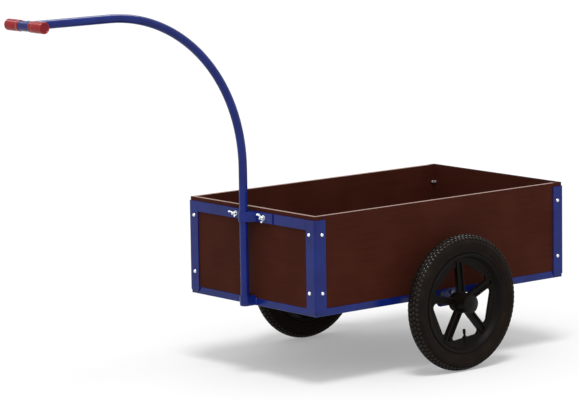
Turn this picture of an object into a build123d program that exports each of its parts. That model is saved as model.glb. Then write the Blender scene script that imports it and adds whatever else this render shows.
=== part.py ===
from build123d import *
from math import cos, radians, sin
import os

# A two-wheeled hand cart: an open load box of boards in a steel frame, one axle under its middle,
# and a bent tube drawbar that stands in a socket at the front and is held by a strap with wing nuts.
# Millimetres, +Z up, -Y is the front. The pieces are drawn about the middle of the load box and
# moved back by BOX_Y, so that the origin is on the ground under the middle of the whole cart.

# load box and frame
BOX_W = 576.0            # over the corner posts
BOX_L = 972.0            # over the corner posts
RAIL_Z = 210.0           # underside of the bottom frame
RIM_Z = 498.0            # top edge of the boards
BOARD_T = 12.0
RAIL = 22.0              # square tube of the bottom frame
RAIL_WALL = 2.0
RAIL_ROUND = 3.0
POST_LEG = 40.0
POST_T = 4.0             # thickness of the posts and of the front top rail
POST_ROUND = 6.0
POST_FOOT = 12.0         # the posts end this far above the underside of the rails
POST_TOP_Z = 487.0
TOP_RAIL_H = 30.0
FLOOR_GAP = 0.5          # play of the floor between the walls
BEARER_Y = 230.0         # floor bearers, from the middle of the box

# bolts that hold the posts to the boards
BOLT_R = 2.45
BOLT_HOLE_R = 2.7
BOLT_IN = 25.0           # from the outer faces of the post
BOLT_Z = (277.0, 445.0)
HEAD_R = 5.5
HEAD_H = 5.2
NUT_AF = 8.0             # across flats
NUT_H = 4.0
BOLT_SPARE = 1.5         # bolt end past its nut

# floor screws
SCREW_R = 2.0
SCREW_HEAD_R = 4.5
SCREW_HEAD_H = 2.6
SCREW_LENGTH = 24.0
SCREW_PLAY = 0.15
SCREW_X = (-200.0, 0.0, 200.0)

# axle, brackets and what keeps the wheels on
WHEEL_R = 200.0
WHEEL_X = 354.0          # middle plane of a wheel
AXLE_Y = 11.0            # the axle is this far behind the middle of the box
AXLE_R = 10.0
RUN_PLAY = 0.05          # radial play of a running fit
SIDE_PLAY = 0.3          # gap between turning and fixed faces
BRACKET_T = 4.0
BRACKET_HALF = 34.0
BRACKET_LOW_Z = 182.0
BRACKET_ROUND = 12.0
BRACKET_BOLT_Y = 21.0
BRACKET_BOLT_Z = 221.0
BRACKET_BOLT_R = 3.9
BRACKET_HOLE_R = 4.2
BRACKET_HEAD_AF = 13.0
BRACKET_HEAD_H = 5.3
BRACKET_NUT_H = 6.5
SPACER_R = 13.5
AXLE_WASHER_R = 17.0
AXLE_WASHER_T = 2.5
AXLE_NUT_AF = 24.0
AXLE_NUT_H = 12.0
AXLE_SPARE = 3.0

# wheel, as x from its middle plane and radius
HUB_IN = -25.7           # inner end of the hub
HUB_OUT = 40.0
HUB_R = 28.0
HUB_BORE_R = 13.0
HUB_POCKET_R = 20.0
HUB_POCKET_DEPTH = 24.0
CAP_R = 25.0
CAP_DOME = 5.0
CAP_SKIRT = 6.0
CAP_WALL = 2.4
SPOKES = 5
SPOKE_TURN = 96.0        # first spoke, degrees from +Y towards +Z
SPOKE_W = 23.0
SPOKE_HALF_DEPTH = 7.0
SPOKE_LIP = 4.7          # border left round the pocket of a spoke
SPOKE_POCKET = 4.5
POCKET_END_R = 122.0
WEB_R = 126.0            # the web's edge, inside the rim channel
WEB_HALF = 4.0
WINDOW_FLAT = 105.5      # from the axle to the straight outer side of a window
WINDOW_IN_R = 31.0
WINDOW_ROUND = 12.0
WINDOW_TIP_ROUND = 6.0   # at the corners near the hub
TYRE_HALF_W = 26.5
CROWN_R = 28.0           # roundness of the tread across the tyre
TUBE_R = 19.0            # section of the inner tube
TUBE_WALL = 2.0
TUBE_RING_R = 170.0
VALVE_TURN = SPOKE_TURN + 180.0
VALVE_R = 4.0
VALVE_TIP = 80.0         # radius that the valve's tip reaches in to
VALVE_CAP_L = 14.0
VALVE_CAP_R = 4.6
VALVE_BOSS_R = 8.0
VALVE_BOSS_FROM = 104.5
VALVE_BOSS_TO = 132.0

# drawbar, its socket and its clamp
BAR_R = 12.5
BAR_WALL = 2.0
BAR_OFF = 25.0           # tube axis before the front face of the posts
BAR_BEND = 462.0
BAR_TOP_Z = 1075.0
HANDLE_REACH = 766.0     # crossbar axis before the front face of the posts
CROSSBAR_R = 11.0
CROSSBAR_HALF = 80.0
BAR_INTO_HANDLE = 4.0    # the tube's end stops this far short of the crossbar axis
SLEEVE_R = 14.5          # sleeve round the crossbar, between the grips
SLEEVE_HALF = 24.6
GRIP_R = 16.0
GRIP_FROM = 25.0
GRIP_TO = 85.0
GRIP_PLAY = 0.05
GRIP_END = 2.7           # closed end past the crossbar
GRIP_ROUND = 2.0
GRIP_DISH_R = 12.5
GROOVE_W = 2.4
GROOVE_D = 0.8
GROOVE_FROM = 44.0
GROOVE_STEP = 8.0
GROOVES = 5
GUIDE_PLAY = 0.4         # round the tube in socket, saddle and strap
SOCKET_T = 2.5
SOCKET_LOW_Z = 211.0
SOCKET_H = 30.0
SOCKET_FLOOR = 3.0
SOCKET_ROUND = 4.0
STRAP_T = 3.0
STRAP_H = 29.0
STRAP_HALF = 103.0
STRAP_SPLAY = 25.0       # slant of the strap's legs, degrees
STRAP_GAP = 0.2          # between strap and rail
SADDLE_HALF = 11.0
SADDLE_WRAP = 6.0        # how far the saddle comes past the back of the tube
STUD_X = 63.0
STUD_R = 2.95
STUD_L = 18.0
STUD_HOLE_R = 3.3
CLAMP_WASHER_R = 8.0
CLAMP_WASHER_T = 1.4
NUT_GAP = 0.1
WING_HUB_R = 6.3
WING_HUB_TOP_R = 5.0
WING_HUB_H = 8.0
WING_T = 2.6
WING_TURNS = {"left": 157.0, "right": 135.0}

# places worked out from the sizes above
BOX_Y = (HANDLE_REACH + GRIP_R - HEAD_H) / 2
FACE_X = BOX_W / 2
FACE_Y = BOX_L / 2
SKIN_X = FACE_X - POST_T
SKIN_Y = FACE_Y - POST_T
INNER_X = SKIN_X - BOARD_T
INNER_Y = SKIN_Y - BOARD_T
BOARD_Z = RAIL_Z + RAIL
RAIL_MID_Z = RAIL_Z + RAIL / 2
BAR_Y = -FACE_Y - BAR_OFF
HANDLE_Y = -FACE_Y - HANDLE_REACH
TOP_RAIL_MID_Z = POST_TOP_Z - TOP_RAIL_H / 2
HUB_POCKET_X = HUB_OUT - HUB_POCKET_DEPTH
SIDES = {"left": -1, "right": 1}
ENDS = {"front": -1, "rear": 1}

os.makedirs("parts", exist_ok=True)


def save(name, shape):
    """Write a node, moved from the middle of the box to the cart's own frame."""
    export_step(Pos(0, BOX_Y, 0) * shape, f"parts/{name}.step")


def group(shapes):
    return Compound(children=list(shapes))


def ring(outer_r, inner_r, height):
    """A washer or sleeve standing on its own XY plane."""
    return extrude(Circle(outer_r) - Circle(inner_r), amount=height)


def hex_prism(across_flats, height):
    """A hexagon standing on its own XY plane, with two of its flats facing along X."""
    return extrude(RegularPolygon(across_flats / 2, 6, major_radius=False, rotation=30), amount=height)


def rod(radius, start, end):
    """A round bar between two points."""
    run = Vector(*end) - Vector(*start)
    return extrude(Plane(start, z_dir=run) * Circle(radius), amount=run.length)


def mirror_x(shape, side):
    return shape if side > 0 else mirror(shape, about=Plane.YZ)


def mirror_y(shape, end):
    return shape if end > 0 else mirror(shape, about=Plane.XZ)


# bolts of the posts: two on each leg, with the plane's Z pointing out of the box and its X level
def bolt_planes():
    planes = []
    for side in SIDES.values():
        for end in ENDS.values():
            for z in BOLT_Z:
                on_side = (side * FACE_X, end * (FACE_Y - BOLT_IN), z)
                on_end = (side * (FACE_X - BOLT_IN), end * FACE_Y, z)
                planes.append(Plane(on_side, x_dir=(0, 1, 0), z_dir=(side, 0, 0)))
                planes.append(Plane(on_end, x_dir=(1, 0, 0), z_dir=(0, end, 0)))
    return planes


# a domed head outside, the shank through post and board, and the nut inside
ON_BASE = (Align.CENTER, Align.CENTER, Align.MIN)
grip_depth = POST_T + BOARD_T
bolt_length = grip_depth + NUT_H + BOLT_SPARE
head = Cylinder(HEAD_R, HEAD_H, align=ON_BASE)
head = fillet(head.edges().group_by(Axis.Z)[-1], HEAD_H * 0.8)
bolt = head + Pos(0, 0, -bolt_length / 2) * Cylinder(BOLT_R, bolt_length)
nut = hex_prism(NUT_AF, NUT_H) - Cylinder(BOLT_R + RUN_PLAY, 3 * NUT_H)
nut = Pos(0, 0, -grip_depth - NUT_H) * nut
BOLT_PLANES = bolt_planes()
BOLT_HOLES = [plane * Cylinder(BOLT_HOLE_R, 4 * grip_depth) for plane in BOLT_PLANES]
save("post_bolts", group(plane * bolt for plane in BOLT_PLANES))
save("post_nuts", group(plane * nut for plane in BOLT_PLANES))


def mitred(side_piece, end_piece):
    """Cut a side piece and an end piece, drawn to their full lengths, to meet on the corners' diagonals."""
    for turn in (-1, 1):
        side_cut = Plane((SKIN_X, turn * SKIN_Y, 0), z_dir=(-1, turn, 0))
        end_cut = Plane((turn * SKIN_X, SKIN_Y, 0), z_dir=(turn, -1, 0))
        side_piece = split(side_piece, bisect_by=side_cut, keep=Keep.BOTTOM)
        end_piece = split(end_piece, bisect_by=end_cut, keep=Keep.BOTTOM)
    return side_piece, end_piece


# boards: mitred at the corners, standing on the bottom frame
board_h = RIM_Z - BOARD_Z
side_board, end_board = mitred(
    Pos(SKIN_X - BOARD_T / 2, 0, BOARD_Z) * Box(BOARD_T, 2 * SKIN_Y, board_h, align=ON_BASE),
    Pos(0, SKIN_Y - BOARD_T / 2, BOARD_Z) * Box(2 * SKIN_X, BOARD_T, board_h, align=ON_BASE))
for name, side in SIDES.items():
    save(f"{name}_panel", mirror_x(side_board, side) - BOLT_HOLES)
for name, end in ENDS.items():
    save(f"{name}_panel", mirror_y(end_board, end) - BOLT_HOLES)

# floor board, with countersunk screws into the two bearers
floor_size = (2 * (INNER_X - FLOOR_GAP), 2 * (INNER_Y - FLOOR_GAP), BOARD_T)
floor_top = BOARD_Z + BOARD_T
screw_spots = [Pos(x, end * BEARER_Y, floor_top) for x in SCREW_X for end in ENDS.values()]


def screw(play):
    """Flush countersunk head and shank, hanging down from its own XY plane."""
    cone = Cone(SCREW_R + play, SCREW_HEAD_R + play, SCREW_HEAD_H)
    length = SCREW_LENGTH + play
    return Pos(0, 0, -SCREW_HEAD_H / 2) * cone + Pos(0, 0, -length / 2) * Cylinder(SCREW_R + play, length)


screw_holes = [spot * screw(SCREW_PLAY) for spot in screw_spots]
floor_board = Pos(0, 0, BOARD_Z) * Box(*floor_size, align=ON_BASE)
save("floor_panel", floor_board - screw_holes)
save("floor_screws", group(spot * screw(0) for spot in screw_spots))

# bottom frame: four square tubes mitred at the corners, and two bearers between the side rails
tube_section = RectangleRounded(RAIL, RAIL, RAIL_ROUND) - RectangleRounded(
    RAIL - 2 * RAIL_WALL, RAIL - 2 * RAIL_WALL, RAIL_ROUND - RAIL_WALL)
side_tube = Pos(SKIN_X - RAIL / 2, 0, RAIL_MID_Z) * extrude(Plane.XZ * tube_section, SKIN_Y, both=True)
end_tube = Pos(0, SKIN_Y - RAIL / 2, RAIL_MID_Z) * extrude(Plane.YZ * tube_section, SKIN_X, both=True)
side_tube, end_tube = mitred(side_tube, end_tube)
bracket_spots = [(AXLE_Y + turn * BRACKET_BOLT_Y, BRACKET_BOLT_Z) for turn in (-1, 1)]
for y, z in bracket_spots:
    side_tube -= rod(BRACKET_HOLE_R, (0, y, z), (FACE_X, y, z))
for name, side in SIDES.items():
    save(f"{name}_bottom_rail", mirror_x(side_tube, side))
for name, end in ENDS.items():
    save(f"{name}_bottom_rail", mirror_y(end_tube, end))
bearer = extrude(Plane.YZ * tube_section, SKIN_X - RAIL, both=True)
for name, end in ENDS.items():
    save(f"{name}_floor_bearer", Pos(0, end * BEARER_Y, RAIL_MID_Z) * bearer - screw_holes)

# corner posts: bent angle, lapping over the bottom frame
angle_section = make_face(Polyline((0, 0), (-POST_LEG, 0), (-POST_LEG, -POST_T), (-POST_T, -POST_T),
                                   (-POST_T, -POST_LEG), (0, -POST_LEG), close=True))
angle_section = fillet(angle_section.vertices().sort_by_distance((0, 0))[0], POST_ROUND)
post_z = RAIL_Z + POST_FOOT
post = Pos(FACE_X, FACE_Y, post_z) * extrude(angle_section, amount=POST_TOP_Z - post_z)
for side_name, side in SIDES.items():
    for end_name, end in ENDS.items():
        save(f"{end_name}_{side_name}_post", mirror_y(mirror_x(post, side), end) - BOLT_HOLES)

# front top rail: a flat bar between the front posts
top_rail = Box(2 * (FACE_X - POST_LEG), POST_T, TOP_RAIL_H)
save("front_top_rail", Pos(0, -FACE_Y + POST_T / 2, TOP_RAIL_MID_Z) * top_rail)

# axle across under the side rails, held by a plate bracket on each of them
axle_washer_x = WHEEL_X + HUB_POCKET_X + SIDE_PLAY
axle_end = axle_washer_x + AXLE_WASHER_T + AXLE_NUT_H + AXLE_SPARE
save("axle", rod(AXLE_R, (-axle_end, AXLE_Y, WHEEL_R), (axle_end, AXLE_Y, WHEEL_R)))
bracket_top = RAIL_Z + RAIL
plate = Pos(0, (bracket_top + BRACKET_LOW_Z) / 2) * Rectangle(2 * BRACKET_HALF, bracket_top - BRACKET_LOW_Z)
plate = fillet(plate.vertices().group_by(Axis.Y)[0], BRACKET_ROUND)
plate -= Pos(0, WHEEL_R) * Circle(AXLE_R + RUN_PLAY)
plate -= [Pos(y - AXLE_Y, z) * Circle(BRACKET_HOLE_R) for y, z in bracket_spots]
bracket = extrude(Plane((SKIN_X, AXLE_Y, 0), x_dir=(0, 1, 0), z_dir=(1, 0, 0)) * plate, amount=BRACKET_T)
bolt_face = SKIN_X + BRACKET_T
nut_face = SKIN_X - RAIL
bracket_bolts = []
bracket_nuts = []
for y, z in bracket_spots:
    out = Plane((bolt_face, y, z), z_dir=(1, 0, 0))
    back = Plane((nut_face, y, z), z_dir=(-1, 0, 0))
    tail = nut_face - BRACKET_NUT_H - BOLT_SPARE
    bracket_bolts.append(out * hex_prism(BRACKET_HEAD_AF, BRACKET_HEAD_H)
                         + rod(BRACKET_BOLT_R, (tail, y, z), (bolt_face, y, z)))
    bracket_nuts.append(back * (hex_prism(BRACKET_HEAD_AF, BRACKET_NUT_H)
                                - Cylinder(BRACKET_BOLT_R + RUN_PLAY, 3 * BRACKET_NUT_H)))
for name, side in SIDES.items():
    save(f"{name}_axle_bracket", mirror_x(bracket, side))
save("bracket_bolts", group(mirror_x(b, side) for b in bracket_bolts for side in SIDES.values()))
save("bracket_nuts", group(mirror_x(n, side) for n in bracket_nuts for side in SIDES.values()))

# wheel: every piece is drawn on the right, about the X axis, and mirrored for the left
WHEEL = Pos(WHEEL_X, AXLE_Y, WHEEL_R)
ACROSS = Plane.YZ        # its Z runs along the axle, outwards


def turned(*points):
    """A ring turned about the axle from one half of its section, given as x and radius."""
    half = make_face(Polyline(*points, close=True))
    return revolve(half + mirror(half, about=Plane.YZ), axis=Axis.X)


def spun(face):
    return revolve(face, axis=Axis.X)


# rim: a V-shaped channel with hooked flanges, five spokes and the hub in one moulding
channel = turned((0, 123), (4, 123), (7, 130), (18.5, 138.5), (21, 144), (20.2, 146.6), (18.2, 146),
                 (16.8, 142), (13, 139.5), (5.5, 134), (0, 133.5))
spoke_reach = turned((0, 0), (0, 128), (SPOKE_HALF_DEPTH, 132), (SPOKE_HALF_DEPTH, 0))
spoke_places = [Rot(0, 0, SPOKE_TURN + 360 / SPOKES * i) for i in range(SPOKES)]
spoke_plan = Pos(WHEEL_R / 2, 0) * Rectangle(WHEEL_R, SPOKE_W)
flats = RegularPolygon(WINDOW_FLAT, SPOKES, major_radius=False, rotation=SPOKE_TURN)
windows = []
for face in (flats - Circle(WINDOW_IN_R) - [place * spoke_plan for place in spoke_places]).faces():
    corners = face.vertices().sort_by_distance((0, 0))
    face = face.fillet_2d(WINDOW_ROUND, corners[2:])
    windows.append(face.fillet_2d(WINDOW_TIP_ROUND, face.vertices().sort_by_distance((0, 0))[:2]))
web = ACROSS * extrude(Circle(WEB_R) - windows, WEB_HALF, both=True)
spoke = extrude(spoke_plan, SPOKE_HALF_DEPTH, both=True)
pocket_from = HUB_R + SPOKE_LIP
pocket_w = SPOKE_W - 2 * SPOKE_LIP
pocket_face = Pos((pocket_from + POCKET_END_R) / 2, 0) * RectangleRounded(
    POCKET_END_R - pocket_from, pocket_w, pocket_w / 3)
pocket_floor = SPOKE_HALF_DEPTH - SPOKE_POCKET
pocket = extrude(pocket_face, amount=2 * SPOKE_POCKET)
pockets = [ACROSS * place * half * pocket for place in spoke_places
           for half in (Pos(0, 0, pocket_floor), Pos(0, 0, -pocket_floor) * Rot(180, 0, 0))]
hub = rod(HUB_R, (HUB_IN, 0, 0), (HUB_OUT, 0, 0))
valve_dir = (0, cos(radians(VALVE_TURN)), sin(radians(VALVE_TURN)))


def on_valve(radius):
    return tuple(radius * part for part in valve_dir)


spokes = [(ACROSS * place * spoke) & spoke_reach for place in spoke_places]
valve_boss = rod(VALVE_BOSS_R, on_valve(VALVE_BOSS_FROM), on_valve(VALVE_BOSS_TO))
rim = hub + web + spokes - pockets + channel + valve_boss
rim -= rod(HUB_BORE_R, (2 * HUB_IN, 0, 0), (2 * HUB_OUT, 0, 0))
rim -= rod(HUB_POCKET_R, (HUB_POCKET_X, 0, 0), (2 * HUB_OUT, 0, 0))
rim -= rod(VALVE_R + RUN_PLAY, on_valve(VALVE_TIP), on_valve(WHEEL_R))

# tyre: crown, bulged walls and beads that sit inside the flanges, hollow for the inner tube
tyre_half = make_face([
    RadiusArc((0, WHEEL_R), (21.4, 190), CROWN_R),
    ThreePointArc((21.4, 190), (TYRE_HALF_W, 171), (18.6, 148.2)),
    Polyline((18.6, 148.2), (15.6, 142.8), (12.4, 144)),
    ThreePointArc((12.4, 144), (22.4, 167), (17.2, 186)),
    ThreePointArc((17.2, 186), (9, 192.8), (0, 194.5)),
    Line((0, 194.5), (0, WHEEL_R)),
])
tyre = spun(tyre_half + mirror(tyre_half, about=Plane.YZ))
inner_tube = spun(Pos(0, TUBE_RING_R) * (Circle(TUBE_R) - Circle(TUBE_R - TUBE_WALL)))
valve = rod(VALVE_R, on_valve(VALVE_TIP), on_valve(TUBE_RING_R - TUBE_R - RUN_PLAY))
valve += rod(VALVE_CAP_R, on_valve(VALVE_TIP), on_valve(VALVE_TIP + VALVE_CAP_L))

# bush pressed in the hub and running on the axle, and the cap over the nut
bush = ACROSS * Pos(0, 0, HUB_IN) * ring(HUB_BORE_R - RUN_PLAY, AXLE_R + RUN_PLAY, HUB_POCKET_X - HUB_IN)
skirt_r = HUB_POCKET_R - RUN_PLAY
cap_sphere_r = (CAP_R ** 2 + CAP_DOME ** 2) / (2 * CAP_DOME)
cap_outline = [
    RadiusArc((HUB_OUT + CAP_DOME, 0), (HUB_OUT, CAP_R), -cap_sphere_r),
    Polyline((HUB_OUT, CAP_R), (HUB_OUT, skirt_r), (HUB_OUT - CAP_SKIRT, skirt_r),
             (HUB_OUT - CAP_SKIRT, skirt_r - CAP_WALL), (HUB_OUT, skirt_r - CAP_WALL),
             (HUB_OUT + CAP_DOME - CAP_WALL, 0), (HUB_OUT + CAP_DOME, 0)),
]
hub_cap = spun(make_face(cap_outline))

# what stays on the axle: spacer sleeve, inner washer, outer washer and nut
inner_washer_x = WHEEL_X + HUB_IN - SIDE_PLAY - AXLE_WASHER_T
axle_hole_r = AXLE_R + RUN_PLAY
spacer_from = SKIN_X + BRACKET_T
ON_AXLE = Plane((0, AXLE_Y, WHEEL_R), x_dir=(0, 1, 0), z_dir=(1, 0, 0))
spacer = ON_AXLE * Pos(0, 0, spacer_from) * ring(SPACER_R, axle_hole_r, inner_washer_x - spacer_from)
axle_washer = ring(AXLE_WASHER_R, axle_hole_r, AXLE_WASHER_T)
axle_nut = hex_prism(AXLE_NUT_AF, AXLE_NUT_H) - Cylinder(axle_hole_r, 3 * AXLE_NUT_H)
right_side = {
    "rim": WHEEL * rim,
    "tyre": WHEEL * tyre,
    "inner_tube": WHEEL * inner_tube,
    "valve": WHEEL * valve,
    "hub_bush": WHEEL * bush,
    "hub_cap": WHEEL * hub_cap,
    "axle_spacer": spacer,
    "inner_washer": ON_AXLE * Pos(0, 0, inner_washer_x) * axle_washer,
    "outer_washer": ON_AXLE * Pos(0, 0, axle_washer_x) * axle_washer,
    "axle_nut": ON_AXLE * Pos(0, 0, axle_washer_x + AXLE_WASHER_T) * axle_nut,
}
for name, side in SIDES.items():
    for piece, shape in right_side.items():
        save(f"{name}_{piece}", mirror_x(shape, side))

# drawbar: one tube, upright from the socket, bent forward through a quarter circle to the handle's sleeve
bar_foot_z = SOCKET_LOW_Z + SOCKET_FLOOR + SIDE_PLAY
bend_z = BAR_TOP_Z - BAR_BEND
bend_mid = BAR_BEND * (1 - cos(radians(45)))
bar_path = Wire([
    Line((0, BAR_Y, bar_foot_z), (0, BAR_Y, bend_z)),
    ThreePointArc((0, BAR_Y, bend_z), (0, BAR_Y - bend_mid, BAR_TOP_Z - bend_mid),
                  (0, BAR_Y - BAR_BEND, BAR_TOP_Z)),
    Line((0, BAR_Y - BAR_BEND, BAR_TOP_Z), (0, HANDLE_Y + BAR_INTO_HANDLE, BAR_TOP_Z)),
])
bar_section = Plane((0, BAR_Y, bar_foot_z)) * (Circle(BAR_R) - Circle(BAR_R - BAR_WALL))
handle_core = rod(CROSSBAR_R, (-CROSSBAR_HALF, HANDLE_Y, BAR_TOP_Z), (CROSSBAR_HALF, HANDLE_Y, BAR_TOP_Z))
sleeve_core = rod(SLEEVE_R, (-SLEEVE_HALF, HANDLE_Y, BAR_TOP_Z), (SLEEVE_HALF, HANDLE_Y, BAR_TOP_Z))
handle_bore = rod(CROSSBAR_R - BAR_WALL, (-BOX_W, HANDLE_Y, BAR_TOP_Z), (BOX_W, HANDLE_Y, BAR_TOP_Z))
save("drawbar_tube", sweep(bar_section, path=bar_path) - sleeve_core)
save("handle_sleeve", sleeve_core - handle_core)
save("handle_crossbar", handle_core - handle_bore)

# grips: plastic sleeves with a dished end and a few finger grooves
grip = extrude(Circle(GRIP_R), amount=GRIP_TO - GRIP_FROM)
grip = fillet(grip.edges().filter_by(GeomType.CIRCLE), GRIP_ROUND)
grip -= extrude(Circle(CROSSBAR_R + GRIP_PLAY), amount=CROSSBAR_HALF + GRIP_PLAY - GRIP_FROM)
dish_depth = GRIP_TO - CROSSBAR_HALF - GRIP_END
grip -= Pos(0, 0, GRIP_TO - GRIP_FROM - dish_depth) * extrude(Circle(GRIP_DISH_R), amount=2 * dish_depth)
for i in range(GROOVES):
    at = GROOVE_FROM + GROOVE_STEP * i - GRIP_FROM
    grip -= Pos(0, 0, at) * ring(GRIP_R + GROOVE_D, GRIP_R - GROOVE_D, GROOVE_W)
grip = Plane((GRIP_FROM, HANDLE_Y, BAR_TOP_Z), z_dir=(1, 0, 0)) * grip
for name, side in SIDES.items():
    save(f"{name}_grip", mirror_x(grip, side))


# socket: a strap bent to a U round the tube and closed below, welded to the front bottom rail
def u_outline(radius):
    leg = BAR_OFF + 4 * POST_T
    return Pos(0, BAR_Y) * (Circle(radius) + Pos(0, leg / 2) * Rectangle(2 * radius, leg))


socket_inner = u_outline(BAR_R + GUIDE_PLAY)
socket_outer = u_outline(BAR_R + GUIDE_PLAY + SOCKET_T)
SOCKET = Pos(0, 0, SOCKET_LOW_Z)
socket = extrude(socket_outer, amount=SOCKET_H)
socket = fillet(socket.edges().group_by(Axis.Z)[0], SOCKET_ROUND)
socket -= Pos(0, 0, SOCKET_FLOOR) * extrude(socket_inner, amount=SOCKET_H)
socket -= Pos(0, BOX_L / 2 - SKIN_Y, 0) * Box(BOX_W, BOX_L, BOX_L)
save("drawbar_socket", SOCKET * socket)

# clamp: saddle behind the tube, strap bent over it, two studs on the top rail with washers and wing nuts
CLAMP = Pos(0, 0, TOP_RAIL_MID_Z - STRAP_H / 2)
saddle_depth = BAR_OFF - BAR_R + SADDLE_WRAP
saddle_plan = Pos(0, -FACE_Y - saddle_depth / 2) * Rectangle(2 * SADDLE_HALF, saddle_depth)
saddle_plan -= Pos(0, BAR_Y) * Circle(BAR_R + GUIDE_PLAY)
save("clamp_saddle", CLAMP * extrude(saddle_plan, amount=STRAP_H))

splay = radians(STRAP_SPLAY)


def strap_edge(radius, foot_y):
    """One face of the strap in plan, right half: foot of the leg, tangent point and front of the tube."""
    tangent = (radius * cos(splay), BAR_Y - radius * sin(splay))
    foot_x = tangent[0] + (foot_y - tangent[1]) * sin(splay) / cos(splay)
    return (foot_x, foot_y), tangent, (0, BAR_Y - radius)


strap_in_r = BAR_R + GUIDE_PLAY
strap_back_y = -FACE_Y - STRAP_GAP
strap_face_y = strap_back_y - STRAP_T
foot_in, tangent_in, front_in = strap_edge(strap_in_r, strap_back_y)
foot_out, tangent_out, front_out = strap_edge(strap_in_r + STRAP_T, strap_face_y)


def flip(point):
    return (-point[0], point[1])


strap_plan = make_face([
    Polyline((STRAP_HALF, strap_back_y), foot_in, tangent_in),
    ThreePointArc(tangent_in, front_in, flip(tangent_in)),
    Polyline(flip(tangent_in), flip(foot_in), (-STRAP_HALF, strap_back_y), (-STRAP_HALF, strap_face_y),
             flip(foot_out), flip(tangent_out)),
    ThreePointArc(flip(tangent_out), front_out, tangent_out),
    Polyline(tangent_out, foot_out, (STRAP_HALF, strap_face_y), (STRAP_HALF, strap_back_y)),
])
strap = CLAMP * extrude(strap_plan, amount=STRAP_H)


def stud_plane(side, y):
    """On a stud's axis, with Z pointing forward out of the cart."""
    return Plane((side * STUD_X, y, TOP_RAIL_MID_Z), x_dir=(1, 0, 0), z_dir=(0, -1, 0))


for side in SIDES.values():
    strap -= stud_plane(side, 0) * Cylinder(STUD_HOLE_R, 2 * BOX_L)
save("clamp_strap", strap)
save("clamp_studs", group(stud_plane(side, -FACE_Y) * extrude(Circle(STUD_R), amount=STUD_L)
                          for side in SIDES.values()))
clamp_washer = ring(CLAMP_WASHER_R, STUD_HOLE_R, CLAMP_WASHER_T)
save("clamp_washers", group(stud_plane(side, strap_face_y) * clamp_washer for side in SIDES.values()))

# wing nut: a coned hub with two upswept wings
wing_plan = make_face(Polyline((3.6, 0.8), (9, 1.6), (15.4, 8.6), (16.6, 16), (13.2, 17), (9.4, 10.6), (3.6, 7.4),
                               close=True))
wing_plan = fillet(wing_plan.vertices().filter_by_position(Axis.X, 8, 17), 1.5)
wing = extrude(Plane.XZ * wing_plan, WING_T / 2, both=True)
wing_hub = Cone(WING_HUB_R, WING_HUB_TOP_R, WING_HUB_H, align=ON_BASE)
wing_nut = wing_hub + wing + mirror(wing, about=Plane.YZ)
wing_nut -= Cylinder(STUD_R + RUN_PLAY, 6 * WING_HUB_H)
wing_base_y = strap_face_y - CLAMP_WASHER_T - NUT_GAP
for name, side in SIDES.items():
    save(f"{name}_wing_nut", stud_plane(side, wing_base_y) * Rot(0, 0, WING_TURNS[name]) * wing_nut)
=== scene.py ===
import math

import bpy
from mathutils import Matrix, Vector


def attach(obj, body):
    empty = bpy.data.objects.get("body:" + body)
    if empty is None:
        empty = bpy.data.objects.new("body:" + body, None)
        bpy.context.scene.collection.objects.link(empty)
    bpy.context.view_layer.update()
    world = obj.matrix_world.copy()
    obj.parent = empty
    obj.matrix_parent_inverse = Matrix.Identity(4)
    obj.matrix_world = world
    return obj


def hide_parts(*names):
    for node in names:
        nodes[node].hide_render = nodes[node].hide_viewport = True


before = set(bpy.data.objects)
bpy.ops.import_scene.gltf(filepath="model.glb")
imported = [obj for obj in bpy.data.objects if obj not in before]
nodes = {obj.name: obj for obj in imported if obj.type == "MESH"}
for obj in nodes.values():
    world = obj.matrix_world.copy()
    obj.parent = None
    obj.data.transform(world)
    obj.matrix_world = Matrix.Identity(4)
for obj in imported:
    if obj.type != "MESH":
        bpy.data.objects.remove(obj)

# A two-wheeled hand cart: a load box of brown coated boards in a blue steel frame, two spoked wheels
# with air tyres, and a bent tube drawbar with red grips. Metres, +Z up, -Y is the front.
scene = bpy.context.scene
scene.view_settings.view_transform = "Standard"
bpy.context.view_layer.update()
bpy.ops.object.select_all(action="DESELECT")

# Boards of the load box: plywood with a dark brown resin film pressed on both faces, sawn to size.
# The sawn edges stay raw, so they show the pale layers of the wood between two dark film lines; only at
# the rear they are brushed brown. The boards stand on the bottom frame, bolted through the corner posts.
BOARD_T = 0.012
FILM_T = 0.0005
VENEERS = 9
BOX_Y = 0.3884
SEALED_FROM = BOX_Y + 0.452
BRUSH_FADE = 0.004
SIDE_MID, END_MID, FLOOR_MID = 0.278, 0.476, 0.238


def shade(red, green, blue):
    """A colour written as on a screen, 0 to 255, turned to the linear values that a shader takes."""
    linear = []
    for part in (red, green, blue):
        share = part / 255
        linear.append(share / 12.92 if share <= 0.04045 else ((share + 0.055) / 1.055) ** 2.4)
    return (*linear, 1.0)


class Wire:
    """The output of a node in a material, so that shader maths reads as plain sums."""

    def __init__(self, tree, socket):
        self.tree = tree
        self.socket = socket

    def add(self, kind, settings, sockets, out=0):
        """Any node: its type, its settings, which are set first, and what its sockets get."""
        node = self.tree.nodes.new("ShaderNode" + kind)
        for key, value in settings.items():
            setattr(node, key, value)
        for key, value in sockets.items():
            if isinstance(value, Wire):
                self.tree.links.new(value.socket, node.inputs[key])
            else:
                node.inputs[key].default_value = value
        return Wire(self.tree, node.outputs[out])

    def math(self, operation, first, second=0.0):
        return self.add("Math", {"operation": operation}, {0: first, 1: second})

    def __add__(self, other):
        return self.math("ADD", self, other)

    def __radd__(self, other):
        return self.math("ADD", other, self)

    def __sub__(self, other):
        return self.math("SUBTRACT", self, other)

    def __rsub__(self, other):
        return self.math("SUBTRACT", other, self)

    def __mul__(self, other):
        return self.math("MULTIPLY", self, other)

    def __rmul__(self, other):
        return self.math("MULTIPLY", other, self)

    def __abs__(self):
        return self.math("ABSOLUTE", self)


def axis(place, letter):
    return place.add("SeparateXYZ", {}, {"Vector": place}, letter)


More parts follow.
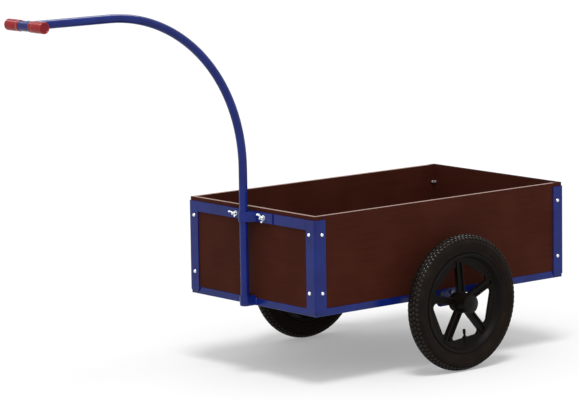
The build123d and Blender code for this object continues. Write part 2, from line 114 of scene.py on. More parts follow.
def step(value, low, high):
    """0 below low and 1 above high, or the other way round, smooth between them."""
    settings = {"interpolation_type": "SMOOTHSTEP"}
    return value.add("MapRange", settings, {"Value": value, "From Min": low, "From Max": high})


def stretched(place, x, y, z):
    return place.add("VectorMath", {"operation": "MULTIPLY"}, {0: place, 1: (x, y, z)})


def noise(place, scale, detail=3.0, roughness=0.55):
    sockets = {"Vector": place, "Scale": scale, "Detail": detail, "Roughness": roughness}
    return place.add("TexNoise", {}, sockets)


def mixed(share, first, second):
    """A colour between two colours."""
    return share.add("Mix", {"data_type": "RGBA"}, {0: share, 6: first, 7: second}, 2)


def start_material(name, specular):
    """A new material, its shader, and the place on the piece that its patterns read."""
    material = bpy.data.materials.new(name)
    material.use_nodes = True
    tree = material.node_tree
    shader = tree.nodes["Principled BSDF"]
    shader.inputs["Specular IOR Level"].default_value = specular
    place = Wire(tree, tree.nodes.new("ShaderNodeTexCoord").outputs["Object"])
    return material, shader, place


def finish_material(shader, colour, roughness, height, depth):
    """Join colour, roughness and a bump of that depth in metres to the shader."""
    tree = colour.tree
    tree.links.new(colour.socket, shader.inputs["Base Color"])
    tree.links.new(roughness.socket, shader.inputs["Roughness"])
    bump = height.add("Bump", {}, {"Height": height, "Strength": 1.0, "Distance": depth})
    tree.links.new(bump.socket, shader.inputs["Normal"])


def board_material(name, across, centre, middle, along):
    """Film on the faces and layered wood on the edges, by how deep a point lies in the board.

    Across is the axis through the board, middle the distance of its mid plane from centre on that
    axis, and along the axis of the grain.
    """
    film = shade(61, 27, 18)
    film_worn = shade(71, 34, 24)
    film_grain = shade(50, 21, 14)
    birch = shade(168, 146, 138)
    birch_cross = shade(140, 112, 102)
    sealer = shade(42, 21, 17)
    material, shader, place = start_material(name, 0.03)
    depth = abs(abs(axis(place, across) - centre) - middle)
    grain_scale = {"Y": (160, 9, 160), "X": (9, 160, 160)}[along]
    grain = noise(stretched(place, *grain_scale), 1.0, 5.0, 0.6)
    cloud = noise(place, 7.0, 2.0)
    scuff = step(noise(stretched(place, 60, 22, 240), 1.0, 2.0), 0.66, 0.78)
    scuff = scuff * step(noise(place, 11.0), 0.5, 0.7)
    face = mixed(step(grain, 0.35, 0.75) * 0.5, film, film_grain)
    face = mixed(step(cloud, 0.42, 0.7) * 0.35 + scuff * 0.5, face, film_worn)
    layers_in = depth * (VENEERS / BOARD_T)
    layer = layers_in.math("PINGPONG", layers_in, 1.0)
    fibre = noise(stretched(place, 700, 700, 700), 1.0, 3.0)
    edge = mixed(step(layer, 0.42, 0.58) * 0.8 + (fibre - 0.5) * 0.5, birch, birch_cross)
    edge = mixed(step(axis(place, "Y"), SEALED_FROM, SEALED_FROM + BRUSH_FADE), edge, sealer)
    is_film = step(depth, BOARD_T / 2 - FILM_T * 1.2, BOARD_T / 2 - FILM_T)
    colour = mixed(is_film, edge, face)
    roughness = 0.62 - cloud * 0.1 - scuff * 0.08 + (1 - is_film) * 0.2
    height = grain * is_film + fibre * (1 - is_film) * 3
    finish_material(shader, colour, roughness, height, depth=0.00012)
    return material


def wear_material(names, material):
    for name in names:
        nodes[name].data.materials.clear()
        nodes[name].data.materials.append(material)


wear_material(["left_panel", "right_panel"], board_material("board_sides", "X", 0.0, SIDE_MID, along="Y"))
wear_material(["front_panel", "rear_panel"], board_material("board_ends", "Y", BOX_Y, END_MID, along="X"))
wear_material(["floor_panel"], board_material("board_floor", "Z", 0.0, FLOOR_MID, along="Y"))

# Steel frame: square tube below, bent angle posts and a flat bar across the front, all welded.
# It is powder coated blue after welding, with the faint orange-peel skin and rub marks of such paint.
paint, paint_shader, place = start_material("frame_paint", 0.22)
PAINT = shade(16, 34, 108)
PAINT_PALE = shade(42, 58, 126)
PAINT_DEEP = shade(12, 25, 94)
peel = noise(place, 900.0, 2.0, 0.5)
cloud = noise(place, 14.0, 3.0)
rub = step(noise(stretched(place, 90, 90, 420), 1.0, 3.0), 0.63, 0.8)
rub = rub * step(noise(place, 23.0), 0.45, 0.75)
tone = mixed(step(cloud, 0.3, 0.7), PAINT_DEEP, PAINT)
tone = mixed(rub * 0.55, tone, PAINT_PALE)
finish_material(paint_shader, tone, 0.14 + cloud * 0.08 + rub * 0.2, peel, depth=0.00003)
ENDS = ("front", "rear")
SIDES = {"left": -1, "right": 1}
frame_nodes = ["front_top_rail", "drawbar_socket", "clamp_saddle", "clamp_strap"]
frame_nodes += ["drawbar_tube", "handle_sleeve", "handle_crossbar"]
frame_nodes += [f"{end}_{side}_post" for end in ENDS for side in SIDES]
frame_nodes += [f"{name}_bottom_rail" for name in (*ENDS, *SIDES)]
frame_nodes += [f"{end}_floor_bearer" for end in ENDS]
frame_nodes += [f"{side}_axle_bracket" for side in SIDES]
wear_material(frame_nodes, paint)

# Weld beads: short runs laid with a wire gun where the steel pieces meet, one ripple on the next.
# They are painted over with the frame, so they show as small rounded ridges in the corners.
RIPPLE_STEP = 0.0021
BEAD_VOXEL = 0.00055
DROP_FLAT = 0.62
DROP_LEAN = math.radians(24)


def weld_bead(name, start, end, radius):
    """A row of overlapping flat drops between two points, melted into one skin."""
    start, end = Vector(start), Vector(end)
    run = end - start
    count = max(2, round(run.length / RIPPLE_STEP))
    bpy.ops.object.select_all(action="DESELECT")
    bpy.ops.mesh.primitive_uv_sphere_add(segments=14, ring_count=8, radius=radius)
    bead = bpy.context.object
    bead.name = name
    bpy.ops.object.mode_set(mode="EDIT")
    bpy.ops.mesh.select_all(action="SELECT")
    bpy.ops.transform.resize(value=(1, 1, DROP_FLAT))
    bpy.ops.transform.rotate(value=DROP_LEAN, orient_axis="X", center_override=(0, 0, 0))
    bpy.ops.object.mode_set(mode="OBJECT")
    row = bead.modifiers.new("row", "ARRAY")
    row.count = count
    row.use_relative_offset = False
    row.use_constant_offset = True
    row.constant_offset_displace = (0, 0, run.length / count)
    bpy.ops.object.modifier_apply(modifier=row.name)
    melt = bead.modifiers.new("melt", "REMESH")
    melt.mode = "VOXEL"
    melt.voxel_size = BEAD_VOXEL
    bpy.ops.object.modifier_apply(modifier=melt.name)
    bead.rotation_mode = "QUATERNION"
    bead.rotation_quaternion = run.to_track_quat("Z", "Y")
    bead.location = start + run / count / 2
    bpy.ops.object.transform_apply(location=True, rotation=True, scale=True)
    bpy.ops.object.shade_smooth()
    bead.data.materials.append(paint)
    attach(bead, "cart")


# Where the posts' faces and the rails' faces lie, from the middle of the box, and the heights of both.
FACE_X, FACE_Y = 0.288, 0.486
SKIN_X, SKIN_Y = 0.284, 0.482
POST_LEG, FOOT_Z = 0.040, 0.222
RAIL_LOW, RAIL_TOP = 0.210, 0.232
FOOT_BEAD, FOOT_PROUD, FOOT_DROP = 0.0032, 0.001, 0.0012
FOOT_RUN = (0.006, POST_LEG - 0.004)
MITRE_BEAD, MITRE_SINK, MITRE_RUN = 0.0026, 0.0012, (RAIL_LOW + 0.001, FOOT_Z - 0.001)
BEARER_BEAD, BEARER_Y, BEARER_HALF = 0.0024, 0.230, 0.0114
BEARER_END, BEARER_RUN = 0.2616, (RAIL_LOW + 0.002, RAIL_TOP - 0.003)
TOP_RUN = (0.459, 0.485)
# The upright seams at the front: piece, place across, place before the box middle, heights, bead.
FRONT_SEAMS = (
    ("top_rail", FACE_X - POST_LEG, FACE_Y - 0.0008, TOP_RUN, 0.0022),
    ("socket", 0.0160, SKIN_Y + 0.0008, (0.212, RAIL_TOP - 0.001), 0.0030),
    ("saddle", 0.0114, FACE_Y + 0.0004, TOP_RUN, 0.0022),
)
for side_name, side in SIDES.items():
    for end_name, end in zip(ENDS, (-1, 1)):
        corner = f"{end_name}_{side_name}"
        out_x, out_y = side * (SKIN_X + FOOT_PROUD), BOX_Y + end * (SKIN_Y + FOOT_PROUD)
        foot_z = FOOT_Z - FOOT_DROP
        side_run = [(out_x, BOX_Y + end * (FACE_Y - inward), foot_z) for inward in FOOT_RUN]
        end_run = [(side * (FACE_X - inward), out_y, foot_z) for inward in FOOT_RUN]
        weld_bead(f"{corner}_foot_weld_side", *side_run, FOOT_BEAD)
        weld_bead(f"{corner}_foot_weld_end", *end_run, FOOT_BEAD)
        mitre_x, mitre_y = side * (SKIN_X - MITRE_SINK), BOX_Y + end * (SKIN_Y - MITRE_SINK)
        weld_bead(f"{corner}_mitre_weld", *[(mitre_x, mitre_y, z) for z in MITRE_RUN], MITRE_BEAD)
        for face_name, face in (("fore", -1), ("aft", 1)):
            bearer_x, bearer_y = side * BEARER_END, BOX_Y + end * BEARER_Y + face * BEARER_HALF
            bearer_run = [(bearer_x, bearer_y, z) for z in BEARER_RUN]
            weld_bead(f"{corner}_bearer_weld_{face_name}", *bearer_run, BEARER_BEAD)
    for piece, seam_x, seam_y, heights, seam_bead in FRONT_SEAMS:
        seam_run = [(side * seam_x, BOX_Y - seam_y, z) for z in heights]
        weld_bead(f"{side_name}_{piece}_weld", *seam_run, seam_bead)


# Screws, bolts, nuts, washers and the axle: zinc-plated steel, turned or cold formed. The bolts of the axle
# brackets, in shade behind the wheels, get a darker copy of the plating as painted shade.
# The plating is faintly cloudy and carries fine marks from the spanner.
def zinc_material(name, clear, dull):
    """Bare metal in two tones, the dull one in clouds and in the marks."""
    material, shader, place = start_material(name, 0.5)
    shader.inputs["Metallic"].default_value = 1.0
    cloud = noise(place, 160.0, 4.0)
    mark = step(noise(stretched(place, 500, 500, 2200), 1.0, 2.0), 0.58, 0.72)
    colour = mixed(step(cloud, 0.35, 0.75) * 0.6 + mark * 0.2, clear, dull)
    roughness = 0.24 + cloud * 0.14 + mark * 0.1
    finish_material(shader, colour, roughness, cloud + mark * 0.3, depth=0.00005)
    return material


zinc = zinc_material("zinc_plate", clear=shade(238, 240, 243), dull=shade(196, 200, 206))
# A darker copy of the plating, as painted shade, for the bolts behind the wheels.
shaded_zinc = zinc_material("shaded_zinc_plate", clear=shade(98, 99, 104), dull=shade(76, 77, 82))
zinc_nodes = ["floor_screws", "post_bolts", "post_nuts", "axle", "clamp_studs", "clamp_washers"]
for side_name in SIDES:
    for piece in ("axle_spacer", "inner_washer", "outer_washer", "axle_nut"):
        zinc_nodes.append(f"{side_name}_{piece}")
wear_material(zinc_nodes, zinc)
wear_material(["bracket_bolts", "bracket_nuts"], shaded_zinc)

# Rims: one black nylon moulding with hub, five pocketed spokes and a channel for the tyre.
# The mould leaves a fine spark-eroded skin, and dust greys it a little.
moulded, moulded_shader, place = start_material("black_moulding", 0.08)
MOULDED = shade(11, 7, 5)
MOULDED_DUSTY = shade(20, 15, 12)
spark = noise(place, 1400.0, 2.0)
dust = noise(place, 30.0, 4.0)
dusty = mixed(step(dust, 0.45, 0.8) * 0.6, MOULDED, MOULDED_DUSTY)
finish_material(moulded_shader, dusty, 0.42 + dust * 0.2, spark, depth=0.00005)
wear_material([f"{side_name}_rim" for side_name in SIDES], moulded)

# Tyres: black rubber moulded with five rows of small blocks across the crown and rings on the walls.
# Each is held on its rim by its two beads, and pressed out by the tube inside.
WHEEL_X, AXLE_Y, AXLE_Z = 0.354, 0.3994, 0.200
BLOCKS = 84
STEPS_PER_BLOCK = 3
CROWN_MID_R, GROOVE_R, BLOCK_H = 0.175, 0.0226, 0.0024
BLOCK_WALL, BLOCK_EDGE = 0.8 * BLOCK_H, 0.3 * BLOCK_H
CROWN_WIDE = 1.06
ROW_EDGES = (11.0, 16.0, 33.0, 38.5, 58.0)
TREAD_LOW_R = 0.186
SHINE, SHINE_FROM = 0.34, (0.010, 0.012)
rubber, rubber_shader, place = start_material("tyre_rubber", 0.06)
RUBBER = shade(22, 16, 12)
RUBBER_GREY = shade(37, 30, 25)
bloom = noise(place, 26.0, 4.0)
pores = noise(place, 1100.0, 2.0)
bloomed = mixed(step(bloom, 0.4, 0.8) * 0.5 + (pores - 0.5) * 0.15, RUBBER, RUBBER_GREY)
finish_material(rubber_shader, bloomed, 0.66 + bloom * 0.14, pores, depth=0.00008)
# The tops of the blocks are rubbed shiny, so the coat lies where a point is a block's height up.
across = (abs(axis(place, "X")) - WHEEL_X) * (1 / CROWN_WIDE)
fore, rise = axis(place, "Y") - AXLE_Y, axis(place, "Z") - AXLE_Z
crown_rise = place.math("SQRT", fore * fore + rise * rise) - CROWN_MID_R
from_crown_mid = place.math("SQRT", across * across + crown_rise * crown_rise)
on_top = step(from_crown_mid, GROOVE_R + BLOCK_H * 0.7, GROOVE_R + BLOCK_H * 0.9)
on_top = on_top * step(crown_rise, *SHINE_FROM)
rubber_shader.inputs["Coat Roughness"].default_value = 0.18
rubber.node_tree.links.new((on_top * SHINE).socket, rubber_shader.inputs["Coat Weight"])


def draw_outline(name, points):
    """A line of edges through points given as (x, radius), drawn one after the other in the XZ plane."""
    bpy.ops.object.select_all(action="DESELECT")
    bpy.ops.mesh.primitive_plane_add(size=0.001)
    piece = bpy.context.object
    piece.name = name
    bpy.ops.object.mode_set(mode="EDIT")
    bpy.ops.mesh.select_mode(type="VERT")
    bpy.ops.mesh.select_all(action="SELECT")
    bpy.ops.mesh.merge(type="CENTER")
    bpy.ops.transform.translate(value=(points[0][0], 0, points[0][1]))
    for before, after in zip(points, points[1:]):
        move = (after[0] - before[0], 0, after[1] - before[1])
        bpy.ops.mesh.extrude_region_move(TRANSFORM_OT_translate={"value": move})
    return piece


def spin_outline(name, points, steps):
    """The outline turned once round the X axis to a closed skin; the piece is left in edit mode."""
    piece = draw_outline(name, points)
    bpy.ops.mesh.select_all(action="SELECT")
    bpy.ops.mesh.spin(steps=steps, angle=math.tau, center=(0, 0, 0), axis=(1, 0, 0))
    bpy.ops.mesh.select_all(action="SELECT")
    bpy.ops.mesh.remove_doubles(threshold=1e-6)
    bpy.ops.mesh.normals_make_consistent(inside=False)
    return piece


def select_faces(piece, wanted):
    """In edit mode, select just the faces for which wanted(centre) is true."""
    bpy.ops.mesh.select_mode(type="FACE")
    bpy.ops.mesh.select_all(action="DESELECT")
    bpy.ops.object.mode_set(mode="OBJECT")
    for face in piece.data.polygons:
        face.select = bool(wanted(face.center))
    bpy.ops.object.mode_set(mode="EDIT")


def place_piece(piece, body, material, replaced, move, smooth=35.0):
    """Move a finished mesh to its place, shade it, give it finish and body, and hide the CAD nodes it
    replaces.
    """
    bpy.ops.object.mode_set(mode="OBJECT")
    bpy.ops.object.select_all(action="DESELECT")
    piece.select_set(True)
    bpy.context.view_layer.objects.active = piece
    piece.matrix_world = move
    bpy.ops.object.transform_apply(location=True, rotation=True, scale=True)
    bpy.ops.object.mode_set(mode="EDIT")
    bpy.ops.mesh.select_all(action="SELECT")
    bpy.ops.mesh.normals_make_consistent(inside=False)
    bpy.ops.object.mode_set(mode="OBJECT")
    bpy.ops.object.shade_smooth_by_angle(angle=math.radians(smooth))
    piece.data.materials.clear()
    piece.data.materials.append(material)
    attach(piece, body)
    if replaced:
        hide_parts(*replaced)


def on_crown(degrees, radius):
    """A point on the tyre's crown, by its angle from the middle of the tread."""
    turn = math.radians(degrees)
    return (CROWN_WIDE * radius * math.sin(turn), CROWN_MID_R + radius * math.cos(turn))


crown = [on_crown(degrees, GROOVE_R) for degrees in (0, 5.5, *ROW_EDGES, 62.0)]
shoulder_ring = [(0.0242, 0.1830), (0.0257, 0.1786), (0.0261, 0.1770), (0.0264, 0.1764), (0.0264, 0.1748),
                 (0.0261, 0.1742)]
wall_ring = [(0.0261, 0.1700), (0.0254, 0.1660), (0.0249, 0.1644), (0.0250, 0.1636), (0.0246, 0.1622),
             (0.0240, 0.1616)]
bead_edge = [(0.0224, 0.1566), (0.0212, 0.1524), (0.0212, 0.1510), (0.0203, 0.1498), (0.0187, 0.1484),
             (0.0156, 0.1430)]
lining = [(0.0124, 0.1441), (0.0164, 0.1520), (0.0208, 0.1612), (0.0222, 0.1700), (0.0207, 0.1790),
          (0.0172, 0.1860), (0.0090, 0.1926), (0.0, 0.1942)]
half = crown + shoulder_ring + wall_ring + bead_edge + lining
section = half + [(-x, r) for x, r in reversed(half[:-1])]


def on_block(centre):
    """Whether a face of the crown is the top of a tread block, the rows set off from each other."""
    radius = math.hypot(centre.y, centre.z)
    across = abs(centre.x) / CROWN_WIDE
    if math.hypot(across, radius - CROWN_MID_R) < GROOVE_R * 0.97 or radius < TREAD_LOW_R:
        return False
    lean = math.degrees(math.atan2(across, radius - CROWN_MID_R))
    row = sum(lean > edge for edge in ROW_EDGES)
    if row % 2 or row > 4:
        return False
    count = int((math.atan2(centre.z, centre.y) / math.tau + 1) * BLOCKS * STEPS_PER_BLOCK)
    return (count + row // 2 + (row == 4 and centre.x > 0)) % STEPS_PER_BLOCK


for side_name, side in SIDES.items():
    tyre = spin_outline(f"{side_name}_block_tyre", section, BLOCKS * STEPS_PER_BLOCK)
    select_faces(tyre, on_block)
    bpy.ops.mesh.extrude_region_shrink_fatten(TRANSFORM_OT_shrink_fatten={"value": BLOCK_WALL})
    bpy.ops.mesh.inset(thickness=BLOCK_EDGE, depth=BLOCK_H - BLOCK_WALL)
    hub_at = Matrix.Translation((side * WHEEL_X, AXLE_Y, AXLE_Z))
    place_piece(tyre, f"{side_name}_wheel", rubber, [f"{side_name}_tyre"], hub_at)
    wear_material([f"{side_name}_inner_tube"], rubber)

# Valves, bushes and hub caps: a rubber valve in each rim, a white nylon bush pressed in the hub,
# and a black cap snapped over the axle nut.
nylon, nylon_shader, place = start_material("nylon_bush", 0.3)
haze = noise(place, 220.0, 3.0)
hazy = mixed(haze, shade(222, 220, 210), shade(200, 197, 186))
finish_material(nylon_shader, hazy, 0.4 + haze * 0.2, haze, depth=0.00004)
gloss, gloss_shader, place = start_material("cap_plastic", 0.1)
smear = noise(place, 60.0, 3.0)
smeared = mixed(step(smear, 0.45, 0.8), MOULDED, MOULDED_DUSTY)
finish_material(gloss_shader, smeared, 0.2 + smear * 0.14, smear, depth=0.00003)
VALVE_TURN = math.radians(276.0)
VALVE_TIP = 0.080
TIP_R, TIP_RINGS, RING_FROM, RING_STEP, RING_CUT = 0.0045, 4, 0.0030, 0.0026, 0.0004
STEM_R, STEM_SEAT, STEM_END = 0.0039, 0.0212, 0.0708
CAP_STEPS, STEM_STEPS = 56, 28
CAP_EDGE, CAP_SKIRT_OUT, CAP_SKIRT_IN, CAP_SKIRT_END = 0.0400, 0.01995, 0.01755, 0.0340
cap_dome = [(0.0450, 0.0), (0.0449, 0.0060), (0.0445, 0.0100), (0.0438, 0.0136), (0.0431, 0.0144),
            (0.0430, 0.0156), (0.0433, 0.0164), (0.0424, 0.0196), (0.0413, 0.0228), (0.0407, 0.0242),
            (0.0403, 0.0249), (CAP_EDGE, 0.0250)]
cap_skirt = [(CAP_EDGE, CAP_SKIRT_OUT), (CAP_SKIRT_END, CAP_SKIRT_OUT), (CAP_SKIRT_END, CAP_SKIRT_IN),
             (0.0398, CAP_SKIRT_IN), (0.0424, 0.0)]
cap_line = cap_dome + cap_skirt
valve_line = [(0.0, 0.0), (0.0, 0.0028), (0.0008, 0.0040), (0.0020, TIP_R)]
for ring in range(TIP_RINGS):
    ring_x = RING_FROM + RING_STEP * ring
    valve_line += [(ring_x, TIP_R), (ring_x + 0.0004, TIP_R - RING_CUT),
                   (ring_x + 0.0010, TIP_R - RING_CUT), (ring_x + 0.0014, TIP_R)]
valve_line += [(0.0136, TIP_R), (0.0142, 0.0040), (0.0142, 0.0030), (0.0170, 0.0030), (0.0174, 0.0036),
               (0.0204, STEM_R), (STEM_SEAT, 0.0056), (0.0226, 0.0060), (0.0244, 0.0056), (0.0244, STEM_R),
               (STEM_END, STEM_R), (STEM_END, 0.0)]
for side_name, side in SIDES.items():
    hub_at = Matrix.Translation((side * WHEEL_X, AXLE_Y, AXLE_Z))
    cap_at = hub_at @ Matrix.Diagonal((side, 1, 1, 1))
    cap = spin_outline(f"{side_name}_dust_cap", cap_line, CAP_STEPS)
    place_piece(cap, f"{side_name}_wheel", gloss, [f"{side_name}_hub_cap"], cap_at)
    spoke_way = Vector((0, math.cos(VALVE_TURN), math.sin(VALVE_TURN)))
    stem_turn = Vector((1, 0, 0)).rotation_difference(spoke_way).to_matrix().to_4x4()
    stem_at = hub_at @ Matrix.Translation(spoke_way * VALVE_TIP) @ stem_turn
    stem = spin_outline(f"{side_name}_rubber_valve", valve_line, STEM_STEPS)
    place_piece(stem, f"{side_name}_wheel", rubber, [f"{side_name}_valve"], stem_at)
    wear_material([f"{side_name}_hub_bush"], nylon)

# Grips: red plastic sleeves pushed on the crossbar, with finger ribs and a dished closed end.
# The plastic is glossy and a little worn where hands hold it; the hollow of the dished end is painted a
# deeper red as painted shade.
GRIP_IN, GRIP_OUT, GRIP_R, GRIP_BORE = 0.025, 0.085, 0.016, 0.01105
BORE_END, DISH_X, GRIP_STEPS = 0.08005, 0.0827, 56
DISH_SHADE_DEPTH, DISH_SHADE_RADIUS = (0.0818, 0.0826), (0.0124, 0.0112)
HANDLE_Y, HANDLE_Z = BOX_Y - 1.252, 1.075
RIBS, RIB_FROM, RIB_STEP, RIB_DEPTH, RIB_LIP = 5, 0.044, 0.008, 0.0008, 0.0003
grip_red, grip_shader, place = start_material("grip_plastic", 0.25)
RED = shade(138, 8, 16)
RED_WORN = shade(150, 24, 29)
RED_DEEP = shade(108, 5, 14)
RED_DISH_SHADE = shade(120, 3, 24)
worn = noise(place, 55.0, 4.0)
fine = noise(place, 900.0, 2.0)
red_tone = mixed(step(worn, 0.5, 0.8) * 0.6, RED, RED_WORN)
red_tone = mixed(step(fine, 0.5, 0.8) * 0.35, red_tone, RED_DEEP)
fore, rise = axis(place, "Y") - HANDLE_Y, axis(place, "Z") - HANDLE_Z
from_axis = place.math("SQRT", fore * fore + rise * rise)
# Painted shade: the hollow of the dished end is mixed towards a deeper red.
dish_shade = step(abs(axis(place, "X")), *DISH_SHADE_DEPTH) * step(from_axis, *DISH_SHADE_RADIUS)
dish_shaded = mixed(dish_shade, red_tone, RED_DISH_SHADE)
finish_material(grip_shader, dish_shaded, 0.16 + worn * 0.16, fine, depth=0.00003)
grip_line = [(BORE_END, 0.0), (BORE_END, GRIP_BORE), (GRIP_IN, GRIP_BORE), (GRIP_IN, 0.0142),
             (0.0253, 0.0152), (0.0260, 0.0158), (0.0268, GRIP_R), (0.0300, GRIP_R), (0.0308, 0.0156),
             (0.0400, 0.0155), (0.0412, GRIP_R)]
for rib in range(RIBS):
    rib_x = RIB_FROM + RIB_STEP * rib
    lip, dip = GRIP_R - RIB_LIP, GRIP_R - RIB_DEPTH
    grip_line += [(rib_x - 0.0005, GRIP_R), (rib_x + 0.0003, lip), (rib_x + 0.0009, dip),
                  (rib_x + 0.0018, dip), (rib_x + 0.0024, lip), (rib_x + 0.0032, GRIP_R)]
grip_line += [(0.0830, GRIP_R), (0.0840, 0.0157), (0.0847, 0.0150), (GRIP_OUT, 0.0141), (0.0848, 0.0132),
              (0.0838, 0.0125), (0.0829, 0.0116), (DISH_X, 0.0098), (DISH_X, 0.0)]
for side_name, side in SIDES.items():
    grip_at = Matrix.Translation((0, HANDLE_Y, HANDLE_Z)) @ Matrix.Diagonal((side, 1, 1, 1))
    grip = spin_outline(f"{side_name}_ribbed_grip", grip_line, GRIP_STEPS)
    place_piece(grip, "drawbar", grip_red, [f"{side_name}_grip"], grip_at)

# Weld where the tube meets the handle's sleeve: one ring laid by hand round the joint and painted over.
# It follows the saddle that the two round tubes make, and its edge ripples like the straight beads.
BAR_R, SLEEVE_R = 0.0125, 0.0145
RING_R, RING_BEAD, RING_RIPPLES, RIPPLE_H = BAR_R + 0.0004, 0.0021, 36, 0.1
bpy.ops.object.select_all(action="DESELECT")
bpy.ops.mesh.primitive_torus_add(major_radius=RING_R, minor_radius=RING_BEAD,
                                 major_segments=4 * RING_RIPPLES, minor_segments=12)
ring_weld = bpy.context.object
ring_weld.name = "handle_weld"
for point in ring_weld.data.vertices:
    turn = math.atan2(point.co.y, point.co.x)
    ripple = 1 + RIPPLE_H * math.cos(RING_RIPPLES * turn)
    mid = Vector((math.cos(turn), math.sin(turn), 0)) * RING_R
    point.co = mid + (point.co - mid) * ripple
    point.co.z += math.sqrt(SLEEVE_R ** 2 - (BAR_R * math.sin(turn)) ** 2)
along_bar = Matrix(((1, 0, 0, 0), (0, 0, 1, HANDLE_Y), (0, 1, 0, HANDLE_Z), (0, 0, 0, 1)))
place_piece(ring_weld, "drawbar", paint, [], along_bar)

# Wing nuts: cast zinc, a coned hub with two swept ears, run up by hand on the studs to hold the strap.
# The casting has soft edges and is tumbled bright.
WING_T, WING_ROUND, NUT_BORE, EAR_ROOT = 0.0030, 0.0010, 0.0030, 0.0044
NUT_STEPS = 40
STUD_X, NUT_Y, STUD_Z = 0.063, BOX_Y - 0.4907, 0.472
WING_TURNS = {"left": 157.0, "right": 135.0}
nut_line = [(0.0, NUT_BORE), (0.0, 0.0056), (0.0005, 0.0062), (0.0030, 0.0062), (0.0070, 0.0053),
            (0.0078, 0.0048), (0.0080, 0.0042), (0.0080, 0.0036), (0.0075, NUT_BORE), (0.0, NUT_BORE)]
ear_line = [(0.0010, EAR_ROOT), (0.0012, 0.0080), (0.0034, 0.0116), (0.0070, 0.0146), (0.0110, 0.0162),
            (0.0146, 0.0165), (0.0166, 0.0154), (0.0169, 0.0136), (0.0156, 0.0120), (0.0126, 0.0108),
            (0.0096, 0.0088), (0.0078, 0.0064), (0.0072, EAR_ROOT)]
for side_name, side in SIDES.items():
    ears = draw_outline(f"{side_name}_nut_ears", ear_line)
    bpy.ops.mesh.select_all(action="SELECT")
    bpy.ops.mesh.edge_face_add()
    bpy.ops.mesh.extrude_region_move(TRANSFORM_OT_translate={"value": (0, WING_T, 0)})
    bpy.ops.mesh.select_all(action="SELECT")
    bpy.ops.transform.translate(value=(0, -WING_T / 2, 0))
    bpy.ops.mesh.normals_make_consistent(inside=False)
    bpy.ops.mesh.duplicate()
    bpy.ops.transform.rotate(value=math.pi, orient_axis="X", center_override=(0, 0, 0))
    bpy.ops.object.mode_set(mode="OBJECT")
    soften = ears.modifiers.new("soften", "BEVEL")
    soften.width = WING_ROUND
    soften.segments = 3
    soften.limit_method = "ANGLE"
    bpy.ops.object.modifier_apply(modifier=soften.name)
    wing_nut = spin_outline(f"{side_name}_cast_wing_nut", nut_line, NUT_STEPS)
    bpy.ops.object.mode_set(mode="OBJECT")
    fuse = wing_nut.modifiers.new("fuse", "BOOLEAN")
    fuse.operation = "UNION"
    fuse.object = ears
    bpy.ops.object.modifier_apply(modifier=fuse.name)
    bpy.data.objects.remove(ears)
    turn = math.radians(WING_TURNS[side_name])
    outward, ear_way = Vector((0, -1, 0)), Vector((math.cos(turn), 0, math.sin(turn)))
    seated = Matrix((outward, ear_way.cross(outward), ear_way)).transposed().to_4x4()
    nut_at = Matrix.Translation((side * STUD_X, NUT_Y, STUD_Z)) @ seated
    place_piece(wing_nut, f"{side_name}_wing_nut", zinc, [f"{side_name}_wing_nut"], nut_at)

# Floor, light and camera: a plain pale floor that runs past the picture, and even light from all round
# with a high soft window and a broad fill on the camera's side. Two strips show only as shine on paint
# and rubber.
FLOOR_SIZE = 90.0
FLOOR_PALE = 0.545
FLOOR_GLOW = 0.285
WHITE = (1, 1, 1, 1)
bpy.ops.object.select_all(action="DESELECT")
bpy.ops.mesh.primitive_plane_add(size=FLOOR_SIZE, location=(0, 0, 0))
floor = bpy.context.object
floor.name = "studio_floor"
floor_material = bpy.data.materials.new("studio_floor")
floor_material.use_nodes = True
tree = floor_material.node_tree
tree.nodes.clear()


def seen_in(tree):
    """1 for rays of the camera, of a mirror and through glass."""
    ray = tree.nodes.new("ShaderNodeLightPath")
    seen = Wire(tree, ray.outputs["Is Camera Ray"]) + Wire(tree, ray.outputs["Is Glossy Ray"])
    return seen.math("MINIMUM", seen + Wire(tree, ray.outputs["Is Transmission Ray"]), 1.0)


seen = seen_in(tree)
pale = seen.add("BsdfDiffuse", {}, {"Color": (FLOOR_PALE, FLOOR_PALE, FLOOR_PALE, 1)})
glow = seen.add("Emission", {}, {"Color": WHITE, "Strength": seen * FLOOR_GLOW})
both = seen.add("AddShader", {}, {0: pale, 1: glow})
out = tree.nodes.new("ShaderNodeOutputMaterial")
tree.links.new(both.socket, out.inputs["Surface"])
floor.data.materials.append(floor_material)

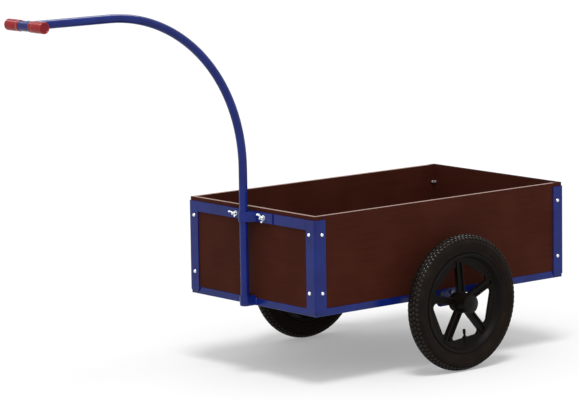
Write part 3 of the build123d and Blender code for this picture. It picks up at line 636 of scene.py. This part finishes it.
AMBIENT = 0.75
world = bpy.data.worlds.new("studio")
scene.world = world
world.use_nodes = True
tree = world.node_tree
tree.nodes.clear()
seen = seen_in(tree)
sky = seen.add("Background", {}, {"Color": WHITE, "Strength": AMBIENT + seen * (1 - AMBIENT)})
out = tree.nodes.new("ShaderNodeOutputWorld")
tree.links.new(sky.socket, out.inputs["Surface"])


def back_along(azimuth, elevation):
    """The way back to a light or camera, by its angles in degrees; azimuth 0 is the front, 90 the right."""
    turn, rise = math.radians(azimuth), math.radians(elevation)
    return Vector((math.sin(turn) * math.cos(rise), -math.cos(turn) * math.cos(rise), math.sin(rise)))


def soft_sun(name, azimuth, elevation, strength, spread, only_shine=False):
    """A far light of that spread in degrees."""
    lamp = bpy.data.lights.new(name, "SUN")
    lamp.energy = strength
    lamp.angle = math.radians(spread)
    sun = bpy.data.objects.new(name, lamp)
    scene.collection.objects.link(sun)
    sun.rotation_mode = "QUATERNION"
    sun.rotation_quaternion = back_along(azimuth, elevation).to_track_quat("Z", "Y")
    sun.visible_diffuse = not only_shine


soft_sun("high_window", 52.0, 67.0, 1.9, 18.0)
soft_sun("front_fill", 40.0, 34.0, 0.6, 70.0)
soft_sun("left_strip", -78.0, 42.0, 0.7, 14.0, only_shine=True)
soft_sun("rear_strip", -156.0, 47.0, 1.0, 20.0, only_shine=True)

PICTURE_W = 579
FOCAL_PX = 3332.95
VIEW_AZIMUTH, VIEW_ELEVATION = 50.554, 8.537
VIEW_ROLL = math.radians(-0.879)
VIEW_TARGET = Vector((0.480693, BOX_Y - 0.734785, 0.594663))
VIEW_DISTANCE = 9.057195
back = back_along(VIEW_AZIMUTH, VIEW_ELEVATION)
level = Vector((0, 0, 1)).cross(back).normalized()
upright = back.cross(level)
right = level * math.cos(VIEW_ROLL) + upright * math.sin(VIEW_ROLL)
up = upright * math.cos(VIEW_ROLL) - level * math.sin(VIEW_ROLL)
lens = bpy.data.cameras.new("camera")
lens.sensor_fit = "HORIZONTAL"
lens.sensor_width = 36.0
lens.lens = FOCAL_PX / PICTURE_W * lens.sensor_width
lens.clip_end = 100.0
camera = bpy.data.objects.new("camera", lens)
scene.collection.objects.link(camera)
turned = Matrix((right, up, back)).transposed().to_4x4()
camera.matrix_world = Matrix.Translation(VIEW_TARGET + back * VIEW_DISTANCE) @ turned
scene.camera = camera
